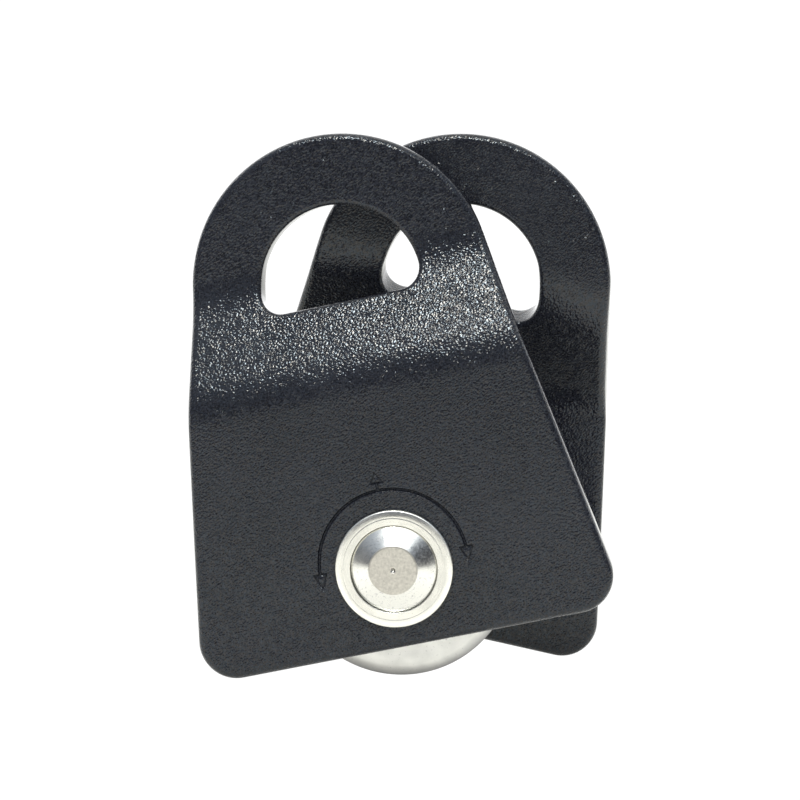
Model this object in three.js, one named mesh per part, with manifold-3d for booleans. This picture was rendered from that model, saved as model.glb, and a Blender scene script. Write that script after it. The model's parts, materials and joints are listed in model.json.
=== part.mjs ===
// Single sheave block with two swinging side plates, in millimetres, +Z up.
// The axle runs along Y and the front is -Y. The origin is the opening that the two eyes share,
// where the connector that holds the block passes through.
import * as THREE from "three";
import { mergeVertices } from "three/addons/utils/BufferGeometryUtils.js";
import Module from "manifold-3d";

const wasm = await Module();
wasm.setup();

// ---------- driving dimensions ----------
const AXLE_DROP = 49.6; // from the shared opening of the eyes down to the axle
const FRONT_SWING = -12.1; // degrees about +Y that the front plate stands open by
const BACK_SWING = 11.7;

const PLATE_THICKNESS = 5;
const CHEEK_FACE_Y = 14; // outer face of a cheek, from the mid-plane
const HEAD_INNER_Y = 0.3; // inner face of a head, from the mid-plane
const HEAD_RADIUS = 24.9;
const HEAD_HEIGHT = 46.2; // centre of the round head above the axle
const FLARE_ANGLE = 9.8; // degrees that each side edge leans out towards the bottom
const BOTTOM_DEPTH = 13.05; // bottom edge below the axle
const BOTTOM_CORNER_RADIUS = 6.1;
const JOGGLE_LOW = 31.9; // heights above the axle where the slope's straight line meets each flat
const JOGGLE_HIGH = 48.4;
const JOGGLE_BLEND = 3.6; // half of the height that each bend takes
const BEND_STEPS = 4;
const EYE_RADIUS = 13.35;
const EYE_FLOOR = 43.95; // flat lower edge of the eye above the axle
const EYE_CORNER_RADIUS = 3.5;
const PLATE_BORE_RADIUS = 7.5;

const SHEAVE_RADIUS = 19;
const SHEAVE_WIDTH = 15;
const ROPE_RADIUS = 6; // thickest rope, 12 mm
const GROOVE_PLAY = 0.2;
const TREAD_RADIUS = 13.2;
const SHEAVE_CHAMFER = 0.4;
const PRESS_GAP = 0.05; // keeps the facets of two pressed pieces apart

const BEARING_BORE_RADIUS = 5;
const BEARING_OUTER_RADIUS = 11;
const BEARING_WIDTH = 6;
const INNER_SHOULDER_RADIUS = 6.9;
const OUTER_SHOULDER_RADIUS = 9.1;
const BALL_RADIUS = 1.5875;
const BALL_PITCH_RADIUS = 8;
const BALL_COUNT = 9;
const RACE_RADIUS = 1.65;
const CAGE_INNER_RADIUS = 7.4;
const CAGE_OUTER_RADIUS = 8.6;
const CAGE_BACK = 2; // closed side of the cage, from the ball centres
const CAGE_FRONT = 0.8; // open side
const POCKET_RADIUS = 1.75;
const SEAL_SEAT_RADIUS = 9.4;
const SEAL_SEAT_DEPTH = 0.75;
const SEAL_THICKNESS = 0.4;
const SEAL_PLAY = 0.1;

const PIN_RADIUS = 4.95;
const PIN_HEAD_RADIUS = 6.9;
const PIN_HEAD_SEAT = 14.4; // underside of a pin head, from the mid-plane
const PIN_HEAD_FOOT = 0.3; // height of the straight foot under the cone
const PIN_HEAD_TOP = 16.4;
const PIN_FLAT_RADIUS = 3.87;
const PUNCH_RADIUS = 0.6;
const PUNCH_DEPTH = 0.35;

const BUSH_SLEEVE_RADIUS = 7.4;
const BUSH_INNER_END = 8.95;
const BUSH_FLANGE_RADIUS = 9.5;
const BUSH_FLANGE_BACK = 14.05;
const BUSH_FLANGE_FACE = 15.16;
const BUSH_FLANGE_EDGE = 0.3;
const BUSH_DISH_RADIUS = 7.15;

const SPACER_FLANGE_RADIUS = 8.9;
const SPACER_FLANGE_Y = 8.2;
const SPACER_BOSS_RADIUS = 6.4;

const REACH = 200; // beyond the block on every side
const MERGE_DISTANCE = 1e-3; // corners nearer than this are one corner
const TURN_SEGMENTS = 36; // facets round a piece that shows
const INNER_SEGMENTS = 24; // facets round a piece inside the sheave
const BALL_SEGMENTS = 8;
const BALL_RINGS = 6;
const OUTLINE_STEPS = { corner: 6, top: 18 }; // facets of half a plate's outer edge
const EYE_STEPS = { corner: 5, top: 14 }; // facets of half an eye
const GROOVE_STEPS = 10;
const RACE_STEPS = 4;

// ---------- colours ----------
const LOOKS = {
  plate: { color: 0x17191e, roughness: 0.55, metalness: 0.2 },
  stainless: { color: 0xd4cfc4, roughness: 0.25, metalness: 1 },
  aluminium: { color: 0xc9cccf, roughness: 0.35, metalness: 1 },
  bearingSteel: { color: 0xb4b6b9, roughness: 0.2, metalness: 1 },
  seal: { color: 0x1b1b1d, roughness: 0.8, metalness: 0 },
  cage: { color: 0x8f8a6e, roughness: 0.6, metalness: 0 },
};

// ---------- helpers ----------
const radians = THREE.MathUtils.degToRad;

function meshOf(name, geometry, look) {
  const mesh = new THREE.Mesh(geometry, new THREE.MeshStandardMaterial(LOOKS[look]));
  mesh.name = name;
  return mesh;
}

function toSolid(geometry) {
  const bare = geometry.clone();
  bare.deleteAttribute("normal");
  bare.deleteAttribute("uv");
  const merged = mergeVertices(bare, MERGE_DISTANCE);
  return new wasm.Manifold(
    new wasm.Mesh({
      numProp: 3,
      vertProperties: merged.attributes.position.array,
      triVerts: new Uint32Array(merged.index.array),
    }),
  );
}

function toGeometry(solid) {
  const mesh = solid.getMesh();
  const geometry = new THREE.BufferGeometry();
  geometry.setAttribute("position", new THREE.BufferAttribute(mesh.vertProperties, 3));
  geometry.setIndex(new THREE.BufferAttribute(mesh.triVerts, 1));
  geometry.computeVertexNormals();
  return geometry;
}

// A turned piece about the Y axis: profile is a closed loop of [radius, y] points, or one that
// starts and ends on the axis.
function turned(profile, segments = TURN_SEGMENTS) {
  const points = profile.map(([radius, y]) => new THREE.Vector2(radius, y));
  const onAxis = points[0].x === 0;
  if (!onAxis) points.push(points[0].clone());
  if (THREE.ShapeUtils.isClockWise(points)) points.reverse();
  return new THREE.LatheGeometry(points, segments);
}

// Points of an arc in a turned profile, as [radius, y], from one angle to another in degrees.
function profileArc(centreRadius, centreY, radius, from, to, steps) {
  return Array.from({ length: steps + 1 }, (_, i) => {
    const angle = radians(from + ((to - from) * i) / steps);
    return [centreRadius + radius * Math.cos(angle), centreY + radius * Math.sin(angle)];
  });
}

// The same turned profile for the back of the block, reflected in the mid-plane.
function mirrored(profile) {
  return profile.map(([radius, y]) => [radius, -y]);
}

// ---------- side plates ----------
function arcPoints(x, height, radius, from, to, steps) {
  return Array.from({ length: steps + 1 }, (_, i) => {
    const angle = from + ((to - from) * i) / steps;
    return new THREE.Vector2(x + radius * Math.cos(angle), height + radius * Math.sin(angle));
  });
}

// Right half of a D shape, from the bottom up: half of a flat bottom, a round corner, a straight
// side that leans out downwards, and a round top.
function halfFlared(topRadius, bottomHeight, cornerRadius, steps) {
  const flare = radians(FLARE_ANGLE);
  const cornerHeight = bottomHeight + cornerRadius;
  const lean = (cornerHeight - HEAD_HEIGHT) * Math.sin(flare);
  const cornerX = (topRadius - cornerRadius - lean) / Math.cos(flare);
  return [
    new THREE.Vector2(0, bottomHeight),
    ...arcPoints(cornerX, cornerHeight, cornerRadius, -Math.PI / 2, flare, steps.corner),
    ...arcPoints(0, HEAD_HEIGHT, topRadius, flare, Math.PI / 2, steps.top),
  ];
}

// Right half of the flat plate as one loop of (x, height above the axle): up the outside, down
// past the eye and round the bore.
function halfPlate() {
  const outside = halfFlared(HEAD_RADIUS, -BOTTOM_DEPTH, BOTTOM_CORNER_RADIUS, OUTLINE_STEPS);
  const eye = halfFlared(EYE_RADIUS, EYE_FLOOR, EYE_CORNER_RADIUS, EYE_STEPS);
  const bore = arcPoints(0, 0, PLATE_BORE_RADIUS, Math.PI / 2, -Math.PI / 2, TURN_SEGMENTS / 2);
  return [...outside, ...eye.reverse(), ...bore].map((p) => new THREE.Vector2(Math.max(p.x, 0), p.y));
}

// The part of a loop of points on one side of a height: side 1 keeps what is above it.
function cutLoop(loop, height, side) {
  const kept = [];
  loop.forEach((point, i) => {
    const next = loop[(i + 1) % loop.length];
    const past = side * (point.y - height);
    const nextPast = side * (next.y - height);
    if (past >= 0) kept.push(point);
    if (past * nextPast < 0) {
      const [low, high] = point.y < next.y ? [point, next] : [next, point];
      const x = low.x + ((high.x - low.x) * (height - low.y)) / (high.y - low.y);
      kept.push(new THREE.Vector2(x, height));
    }
  });
  return kept;
}

// How far the joggle has carried the outer face towards the mid-plane at a height above the axle:
// a straight slope with a parabola at each end. Returns the distance and the slope there.
function joggleAt(height) {
  const drop = CHEEK_FACE_Y - HEAD_INNER_Y - PLATE_THICKNESS;
  const steepness = drop / (JOGGLE_HIGH - JOGGLE_LOW);
  const blended = (past) => {
    const t = THREE.MathUtils.clamp(past, -JOGGLE_BLEND, JOGGLE_BLEND) + JOGGLE_BLEND;
    return (t * t) / (4 * JOGGLE_BLEND) + Math.max(past - JOGGLE_BLEND, 0);
  };
  const risen = (past) => (THREE.MathUtils.clamp(past / JOGGLE_BLEND, -1, 1) + 1) / 2;
  return {
    offset: steepness * (blended(height - JOGGLE_LOW) - blended(height - JOGGLE_HIGH)),
    slope: steepness * (risen(height - JOGGLE_LOW) - risen(height - JOGGLE_HIGH)),
  };
}

// Heights of the lines that the flat plate is bent along.
function bendLines() {
  const lines = [];
  for (const middle of [JOGGLE_LOW, JOGGLE_HIGH]) {
    for (let i = 0; i <= BEND_STEPS; i += 1) {
      lines.push(middle + JOGGLE_BLEND * ((2 * i) / BEND_STEPS - 1));
    }
  }
  return lines;
}

// A corner of the flat plate (x, height, depth from the outer face) moved to its place on the bent one.
function bend(corner) {
  const { offset, slope } = joggleAt(corner.y);
  const tilt = Math.atan(slope);
  return new THREE.Vector3(
    corner.x,
    -CHEEK_FACE_Y + offset + corner.z * Math.cos(tilt),
    corner.y - corner.z * Math.sin(tilt),
  );
}

// The plate as a press leaves it: each half is cut into strips along the bend lines, and each strip
// is a prism whose corners are then bent. The faces where two strips or the two halves meet are left out.
function bentPlate() {
  const lines = bendLines();
  const levels = [-REACH, ...lines, REACH];
  const bent = [];
  for (let i = 0; i + 1 < levels.length; i += 1) {
    const strip = cutLoop(cutLoop(halfPlate(), levels[i], 1), levels[i + 1], -1);
    const prism = new THREE.ExtrudeGeometry(new THREE.Shape(strip), {
      depth: PLATE_THICKNESS,
      bevelEnabled: false,
    });
    const position = prism.getAttribute("position");
    for (let j = 0; j < position.count; j += 3) {
      const corners = [j, j + 1, j + 2].map((k) => new THREE.Vector3().fromBufferAttribute(position, k));
      const isOn = (axis, value) => corners.every((c) => Math.abs(c[axis] - value) < MERGE_DISTANCE);
      if (isOn("x", 0) || lines.some((line) => isOn("y", line))) continue;
      const reflected = corners.map((c) => new THREE.Vector3(-c.x, c.y, c.z));
      bent.push(...corners.reverse().map(bend), ...reflected.map(bend));
    }
  }
  return toGeometry(toSolid(new THREE.BufferGeometry().setFromPoints(bent)));
}

// A plate turned about the axle by its swing. The back one is the same plate turned end for end.
function sidePlate(name, geometry, turn, swing) {
  const pivot = new THREE.Group();
  pivot.rotation.y = radians(swing);
  const plate = meshOf(name, geometry, "plate");
  plate.rotation.z = turn;
  pivot.add(plate);
  return pivot;
}

// ---------- axle ----------
function axlePin() {
  const stem = PIN_HEAD_SEAT;
  const foot = PIN_HEAD_SEAT + PIN_HEAD_FOOT;
  const front = [
    [0, -PIN_HEAD_TOP + PUNCH_DEPTH],
    [PUNCH_RADIUS, -PIN_HEAD_TOP],
    [PIN_FLAT_RADIUS, -PIN_HEAD_TOP],
    [PIN_HEAD_RADIUS, -foot],
    [PIN_HEAD_RADIUS, -stem],
    [PIN_RADIUS, -stem],
  ];
  return turned([...front, ...mirrored(front).reverse()]);
}

// Flanged bush that a plate swings on: a sleeve through the plate and a flange over it, dished for
// the head of the pin.
function bushProfile() {
  return [
    [BEARING_BORE_RADIUS, -BUSH_INNER_END],
    [BUSH_SLEEVE_RADIUS, -BUSH_INNER_END],
    [BUSH_SLEEVE_RADIUS, -BUSH_FLANGE_BACK],
    [BUSH_FLANGE_RADIUS, -BUSH_FLANGE_BACK],
    [BUSH_FLANGE_RADIUS, -BUSH_FLANGE_FACE + BUSH_FLANGE_EDGE],
    [BUSH_FLANGE_RADIUS - BUSH_FLANGE_EDGE, -BUSH_FLANGE_FACE],
    [BUSH_DISH_RADIUS, -BUSH_FLANGE_FACE],
    [BUSH_DISH_RADIUS, -PIN_HEAD_SEAT],
    [BEARING_BORE_RADIUS, -PIN_HEAD_SEAT],
  ];
}

// Stepped washer between a bush and a bearing's inner ring. Its flange keeps the plate off the sheave.
function spacerProfile() {
  return [
    [BEARING_BORE_RADIUS, -BUSH_INNER_END],
    [SPACER_FLANGE_RADIUS, -BUSH_INNER_END],
    [SPACER_FLANGE_RADIUS, -SPACER_FLANGE_Y],
    [SPACER_BOSS_RADIUS, -SPACER_FLANGE_Y],
    [SPACER_BOSS_RADIUS, -SHEAVE_WIDTH / 2],
    [BEARING_BORE_RADIUS, -SHEAVE_WIDTH / 2],
  ];
}

function centreSleeve() {
  const half = SHEAVE_WIDTH / 2 - BEARING_WIDTH;
  const profile = [
    [BEARING_BORE_RADIUS, -half],
    [SPACER_BOSS_RADIUS, -half],
    [SPACER_BOSS_RADIUS, half],
    [BEARING_BORE_RADIUS, half],
  ];
  return turned(profile, INNER_SEGMENTS);
}

// ---------- sheave ----------
// The rope's groove is round, and the bore has a rib between the two bearings.
function sheave() {
  const half = SHEAVE_WIDTH / 2;
  const rib = half - BEARING_WIDTH;
  const grooveRadius = ROPE_RADIUS + GROOVE_PLAY;
  const grooveCentre = TREAD_RADIUS + grooveRadius;
  const lip = THREE.MathUtils.radToDeg(Math.acos((SHEAVE_RADIUS - grooveCentre) / grooveRadius));
  return turned([
    [BEARING_OUTER_RADIUS, -half],
    [SHEAVE_RADIUS - SHEAVE_CHAMFER, -half],
    [SHEAVE_RADIUS, -half + SHEAVE_CHAMFER],
    ...profileArc(grooveCentre, 0, grooveRadius, -lip, lip - 360, GROOVE_STEPS),
    [SHEAVE_RADIUS, half - SHEAVE_CHAMFER],
    [SHEAVE_RADIUS - SHEAVE_CHAMFER, half],
    [BEARING_OUTER_RADIUS, half],
    [BEARING_OUTER_RADIUS, rib],
    [OUTER_SHOULDER_RADIUS, rib],
    [OUTER_SHOULDER_RADIUS, -rib],
    [BEARING_OUTER_RADIUS, -rib],
  ]);
}

// ---------- ball bearings ----------
function innerRing(middle) {
  const half = BEARING_WIDTH / 2;
  const lip = THREE.MathUtils.radToDeg(
    Math.acos((BALL_PITCH_RADIUS - INNER_SHOULDER_RADIUS) / RACE_RADIUS),
  );
  const profile = [
    [BEARING_BORE_RADIUS, middle - half],
    [INNER_SHOULDER_RADIUS, middle - half],
    ...profileArc(BALL_PITCH_RADIUS, middle, RACE_RADIUS, 180 + lip, 180 - lip, RACE_STEPS),
    [INNER_SHOULDER_RADIUS, middle + half],
    [BEARING_BORE_RADIUS, middle + half],
  ];
  return turned(profile, INNER_SEGMENTS);
}

function outerRing(middle) {
  const half = BEARING_WIDTH / 2;
  const seat = half - SEAL_SEAT_DEPTH;
  const lip = THREE.MathUtils.radToDeg(
    Math.acos((OUTER_SHOULDER_RADIUS - BALL_PITCH_RADIUS) / RACE_RADIUS),
  );
  const profile = [
    [BEARING_OUTER_RADIUS - PRESS_GAP, middle - half],
    [BEARING_OUTER_RADIUS - PRESS_GAP, middle + half],
    [SEAL_SEAT_RADIUS, middle + half],
    [SEAL_SEAT_RADIUS, middle + seat],
    [OUTER_SHOULDER_RADIUS, middle + seat],
    ...profileArc(BALL_PITCH_RADIUS, middle, RACE_RADIUS, lip, -lip, RACE_STEPS),
    [OUTER_SHOULDER_RADIUS, middle - seat],
    [SEAL_SEAT_RADIUS, middle - seat],
    [SEAL_SEAT_RADIUS, middle - half],
  ];
  return turned(profile, INNER_SEGMENTS);
}

// side is -1 for the seal at the lower end of Y and 1 for the other.
function seal(middle, side) {
  const inner = INNER_SHOULDER_RADIUS + SEAL_PLAY;
  const outer = SEAL_SEAT_RADIUS - PRESS_GAP;
  const near = middle + side * (BEARING_WIDTH / 2 - SEAL_SEAT_DEPTH + PRESS_GAP);
  const far = near + side * SEAL_THICKNESS;
  const profile = [
    [inner, near],
    [outer, near],
    [outer, far],
    [inner, far],
  ];
  return turned(profile, INNER_SEGMENTS);
}

function ballAt(index, middle, radius) {
  const angle = (2 * Math.PI * index) / BALL_COUNT;
  return new THREE.SphereGeometry(radius, BALL_SEGMENTS, BALL_RINGS)
    .translate(BALL_PITCH_RADIUS, middle, 0)
    .rotateY(angle);
}

// Crown cage: a ring round the balls with its pockets open on the side away from the rib.
function crownCage(middle, side) {
  const profile = [
    [CAGE_INNER_RADIUS, middle - side * CAGE_BACK],
    [CAGE_OUTER_RADIUS, middle - side * CAGE_BACK],
    [CAGE_OUTER_RADIUS, middle + side * CAGE_FRONT],
    [CAGE_INNER_RADIUS, middle + side * CAGE_FRONT],
  ];
  let cage = toSolid(turned(profile, INNER_SEGMENTS));
  for (let i = 0; i < BALL_COUNT; i += 1) {
    cage = cage.subtract(toSolid(ballAt(i, middle, POCKET_RADIUS)));
  }
  return toGeometry(cage);
}

function bearing(place, side) {
  const group = new THREE.Group();
  const middle = (side * (SHEAVE_WIDTH - BEARING_WIDTH)) / 2;
  group.add(meshOf(`${place}_bearing_inner_ring`, innerRing(middle), "bearingSteel"));
  group.add(meshOf(`${place}_bearing_outer_ring`, outerRing(middle), "bearingSteel"));
  group.add(meshOf(`${place}_bearing_outside_seal`, seal(middle, side), "seal"));
  group.add(meshOf(`${place}_bearing_inside_seal`, seal(middle, -side), "seal"));
  group.add(meshOf(`${place}_bearing_cage`, crownCage(middle, side), "cage"));
  for (let i = 0; i < BALL_COUNT; i += 1) {
    group.add(meshOf(`${place}_bearing_ball_${i + 1}`, ballAt(i, middle, BALL_RADIUS), "bearingSteel"));
  }
  return group;
}

// ---------- assembly ----------
function axleStack() {
  const group = new THREE.Group();
  group.add(meshOf("axle_pin", axlePin(), "stainless"));
  group.add(meshOf("front_flanged_bush", turned(bushProfile()), "stainless"));
  group.add(meshOf("back_flanged_bush", turned(mirrored(bushProfile())), "stainless"));
  group.add(meshOf("front_spacer", turned(spacerProfile(), INNER_SEGMENTS), "stainless"));
  group.add(meshOf("back_spacer", turned(mirrored(spacerProfile()), INNER_SEGMENTS), "stainless"));
  group.add(meshOf("centre_sleeve", centreSleeve(), "stainless"));
  return group;
}

const block = new THREE.Group();
const plateGeometry = bentPlate();
block.add(sidePlate("front_plate", plateGeometry, 0, FRONT_SWING));
block.add(sidePlate("back_plate", plateGeometry, Math.PI, BACK_SWING));
block.add(axleStack());
block.add(meshOf("sheave", sheave(), "aluminium"));
block.add(bearing("front", -1));
block.add(bearing("back", 1));
block.position.z = -AXLE_DROP;

export default block;
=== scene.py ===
"""Looks of the single sheave block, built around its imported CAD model.

Metres; the front is -Y and +Z is up. The pieces' own sizes are in millimetres about the axle."""

import json
import math

import bmesh
import bpy
import numpy as np
from mathutils import Matrix, Vector
from mathutils.geometry import delaunay_2d_cdt


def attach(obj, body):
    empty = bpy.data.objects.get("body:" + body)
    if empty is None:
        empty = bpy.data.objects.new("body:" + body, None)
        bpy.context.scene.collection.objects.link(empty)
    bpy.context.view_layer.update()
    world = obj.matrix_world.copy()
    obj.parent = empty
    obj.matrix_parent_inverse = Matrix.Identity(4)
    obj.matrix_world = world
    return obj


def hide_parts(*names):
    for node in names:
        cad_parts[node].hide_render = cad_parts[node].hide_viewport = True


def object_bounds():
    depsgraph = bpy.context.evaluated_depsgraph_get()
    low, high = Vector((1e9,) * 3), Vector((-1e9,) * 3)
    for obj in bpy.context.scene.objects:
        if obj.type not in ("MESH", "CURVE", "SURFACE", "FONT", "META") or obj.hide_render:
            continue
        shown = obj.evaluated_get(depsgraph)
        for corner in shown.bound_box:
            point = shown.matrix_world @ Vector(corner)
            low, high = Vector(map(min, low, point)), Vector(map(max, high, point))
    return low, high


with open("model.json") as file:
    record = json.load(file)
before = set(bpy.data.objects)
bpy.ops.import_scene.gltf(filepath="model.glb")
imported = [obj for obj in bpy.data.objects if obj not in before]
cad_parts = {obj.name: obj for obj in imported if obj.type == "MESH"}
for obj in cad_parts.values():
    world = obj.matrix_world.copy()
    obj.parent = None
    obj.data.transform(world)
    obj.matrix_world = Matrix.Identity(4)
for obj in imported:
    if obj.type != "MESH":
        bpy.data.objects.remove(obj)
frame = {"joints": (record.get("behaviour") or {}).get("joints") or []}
cad_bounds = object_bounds()

# ---------- dimensions, in millimetres ----------
MM = 0.001
FRONT_SWING = -12.1  # degrees about +Y
BACK_SWING = 11.7

PLATE_THICKNESS = 5
CHEEK_FACE_Y = 14
HEAD_INNER_Y = 0.3
HEAD_RADIUS = 24.9
HEAD_HEIGHT = 46.2
FLARE_ANGLE = 9.8
BOTTOM_DEPTH = 13.05
BOTTOM_CORNER_RADIUS = 6.1
JOGGLE_LOW = 31.9
JOGGLE_HIGH = 48.4
JOGGLE_BLEND = 3.6
EYE_RADIUS = 13.35
EYE_FLOOR = 43.95
EYE_CORNER_RADIUS = 3.5
PLATE_BORE_RADIUS = 7.5
PLATE_EDGE = 1.2  # rounding of the outer edges
EYE_EDGE = 0.75
BORE_EDGE = 0.3
FACE_PITCH = 0.75  # between the points inside a plate's faces
ROW_PITCH = 0.87 * FACE_PITCH  # between their rows, for even triangles
GRID_HALF = 40  # the rows cover this much to each side, and these heights
GRID_LOW = -20
GRID_HIGH = 80
FACE_MARGIN = 0.45  # free of those points, beside each outline
SUPPORT = 0.1  # flat strip beside a rounded edge, which keeps the shading of the face flat
BOTTOM_STEPS = 30  # along half of the straight bottom
CORNER_STEPS = 18
SIDE_STEPS = 90
EYE_SIDE_STEPS = 8
TOP_STEPS = 48  # round half of the head or the eye
BORE_STEPS = 120
EDGE_STEP = 15  # degrees between the points across a rounded edge

MARK_CENTRE = 0.75  # centre of the stamped arc above the axle
MARK_RADIUS = 12.1
MARK_HALF_WIDTH = 0.31
MARK_BASE = 1.45  # arrowheads at the arc's ends: base, tip and half width
MARK_TIP = -1.75
MARK_HEAD_HALF = 1.35
UP_BASE = 13.9  # arrow at the arc's top
UP_TIP = 16.1
UP_STEM_HALF = 0.31
MARK_DEPTH = 0.42
MARK_WALL = [(-0.12, 0), (-0.02, 0), (0.03, 0.03), (0.07, 0.1)]  # (inset, depth) down to the mark's floor
MARK_WALL += [(0.11, 0.21), (0.15, 0.32), (0.2, 0.39), (0.26, MARK_DEPTH)]
ARC_STEPS = 40
ISLAND_DEPTH = 0.06  # of the triangles that stand inside the arrowheads
ISLAND_GAP = 0.03  # between the foot of such a triangle and the mark's wall
ISLAND_TOP_GAP = 0.2
LEAST_ISLAND = 0.04
SIDE_BOW = 0.0013  # a side's bow outwards as a share of its length, which keeps its points off one line

SHEAVE_RADIUS = 19
SHEAVE_HALF = 7.5
GROOVE_RADIUS = 6.2
TREAD_RADIUS = 13.2
LIP_START = 15.4  # where the side of the sheave starts to round over
LIP_DROP = 0.95
BEARING_BORE = 5
BEARING_OUTER = 10.95
BEARING_HALF = 3
INNER_SHOULDER = 6.9
OUTER_SHOULDER = 9.1
BALL_RADIUS = 1.5875
BALL_PITCH = 8
BALL_COUNT = 9
RACE_RADIUS = 1.65
CAGE_INNER = 7.4
CAGE_OUTER = 8.6
CAGE_BACK = 2
CAGE_FRONT = 0.8
POCKET_RADIUS = 1.75
SEAL_SEAT_RADIUS = 9.4
SEAL_SEAT_DEPTH = 0.75
SEAL_THICKNESS = 0.4

PIN_RADIUS = 4.95
PIN_HEAD_RADIUS = 6.98
PIN_HEAD_SEAT = 14.4
PIN_HEAD_TOP = 16.4
PIN_FLAT_RADIUS = 3.87
PIN_CONE_FOOT = 14.75
PIN_PLAY = 0.03  # between the head's underside and its seat
PUNCH_RIM = 0.9
PUNCH_DENT = [(0, 16.08), (0.1, 16.1), (0.3, 16.27), (0.42, 16.38)]  # (radius, y) of the punch mark
PUNCH_DENT += [(0.5, 16.425), (0.6, 16.425), (0.75, PIN_HEAD_TOP), (PUNCH_RIM, PIN_HEAD_TOP)]
BUSH_SLEEVE = 7.4
BUSH_INNER_END = 8.95
BUSH_FLANGE_RADIUS = 9.56
BUSH_FLANGE_BACK = 14.05
BUSH_FLANGE_FACE = 15.16
BUSH_DISH = 7.08
FLAT_RING_EDGE = 8.12  # the flat ring beside the dish, then a fine groove, then the crown
CROWN_START = 8.38
CROWN_WIDTH = 0.86
CROWN_TILT = 13  # degrees at the crown's outer end
CROWN_STEPS = 8
CROWN_ROLL = 0.26  # width of the rolled edge beyond the crown
SPACER_FLANGE = 8.9
SPACER_FLANGE_Y = 8.2
SPACER_BOSS = 6.4

SEGMENTS = 128  # round a turned piece
HEAD_SEGMENTS = 160  # round the pin and the bushes
SHEAVE_SEGMENTS = 192
CAGE_SEGMENTS = 144
BALL_SEGMENTS = 40

AXLE = Vector(frame["joints"][0]["pos_m"])
FRONT = -1
BACK = 1
FLOOR_EDGE = -0.5  # metres: where the floor ends in front, under the camera
FLOOR_HALF = 0.27  # and half its width there
FLOOR_NECK = -0.12  # where it widens
FLOOR_REACH = 6
CAMERA_PLACE = (0.03743, -0.37232, 0.0091)
CAMERA_TILT = 4.99  # degrees down
CAMERA_TURN = 5.82  # degrees to the left


# ---------- meshes ----------
def make_object(name, points, faces):
    """An object from points in millimetres about the axle, with its faces turned outwards."""
    mesh = bpy.data.meshes.new(name)
    mesh.from_pydata([tuple(c * MM for c in p) for p in points], [], faces)
    work = bmesh.new()
    work.from_mesh(mesh)
    bmesh.ops.remove_doubles(work, verts=work.verts, dist=0.0004 * MM)
    bmesh.ops.recalc_face_normals(work, faces=work.faces)
    work.to_mesh(mesh)
    work.free()
    mesh.shade_smooth()
    obj = bpy.data.objects.new(name, mesh)
    bpy.context.scene.collection.objects.link(obj)
    obj.location = AXLE
    return obj


def add_piece(obj, body, slot, material, *nodes):
    obj.data.materials.clear()
    obj.data.materials.append(material)
    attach(obj, body)
    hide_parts(*nodes)


def rounded(corners, steps=5):
    """A closed profile with its corners rounded. Each corner is (radius, y) or (radius, y, rounding)."""
    out = []
    count = len(corners)
    for i, corner in enumerate(corners):
        here = Vector(corner[:2])
        rounding = corner[2] if len(corner) > 2 else 0
        before = Vector(corners[i - 1][:2]) - here
        after = Vector(corners[(i + 1) % count][:2]) - here
        if not rounding:
            out.append(tuple(here))
            continue
        a, b = before.normalized(), after.normalized()
        half = a.angle(b) / 2
        reach = min(rounding / math.tan(half), 0.48 * before.length, 0.48 * after.length)
        radius = reach * math.tan(half)
        centre = here + (a + b).normalized() * (radius / math.sin(half))
        start, end = here + a * reach, here + b * reach
        strip = 0.25 * radius
        if reach + strip < 0.5 * before.length:
            out.append(tuple(here + a * (reach + strip)))
        first = math.atan2(start.y - centre.y, start.x - centre.x)
        turn = math.atan2(end.y - centre.y, end.x - centre.x) - first
        turn = (turn + math.pi) % (2 * math.pi) - math.pi
        for k in range(steps + 1):
            angle = first + turn * k / steps
            out.append((centre.x + radius * math.cos(angle), centre.y + radius * math.sin(angle)))
        if reach + strip < 0.5 * after.length:
            out.append(tuple(here + b * (reach + strip)))
    return out


def lathe(name, profile, segments=SEGMENTS, centre=(0, 0)):
    """A turned piece about the Y axis of the axle. Its profile is a closed loop of (radius, y).
    centre is the (x, z) of the turning axis."""
    points = []
    rings = []
    for radius, y in profile:
        ring = []
        if radius < 1e-6:
            ring = [len(points)] * segments
            points.append((centre[0], y, centre[1]))
        else:
            for s in range(segments):
                angle = 2 * math.pi * s / segments
                ring.append(len(points))
                points.append((centre[0] + radius * math.cos(angle), y, centre[1] + radius * math.sin(angle)))
        rings.append(ring)
    faces = []
    for i, ring in enumerate(rings):
        following = rings[(i + 1) % len(rings)]
        for s in range(segments):
            t = (s + 1) % segments
            face = [ring[s], ring[t], following[t], following[s]]
            face = [v for k, v in enumerate(face) if v != face[k - 1]]
            if len(set(face)) > 2:
                faces.append(face)
    return make_object(name, points, faces)


def arc(centre_radius, centre_y, radius, start, end, steps):
    """Points of an arc of a profile, from one angle to another in degrees."""
    out = []
    for i in range(steps + 1):
        angle = math.radians(start + (end - start) * i / steps)
        out.append((centre_radius + radius * math.cos(angle), centre_y + radius * math.sin(angle)))
    return out


def on_side(profile, side):
    """A profile given outwards from the mid-plane, for the front or the back."""
    return [(p[0], side * p[1], *p[2:]) for p in profile]


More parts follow.
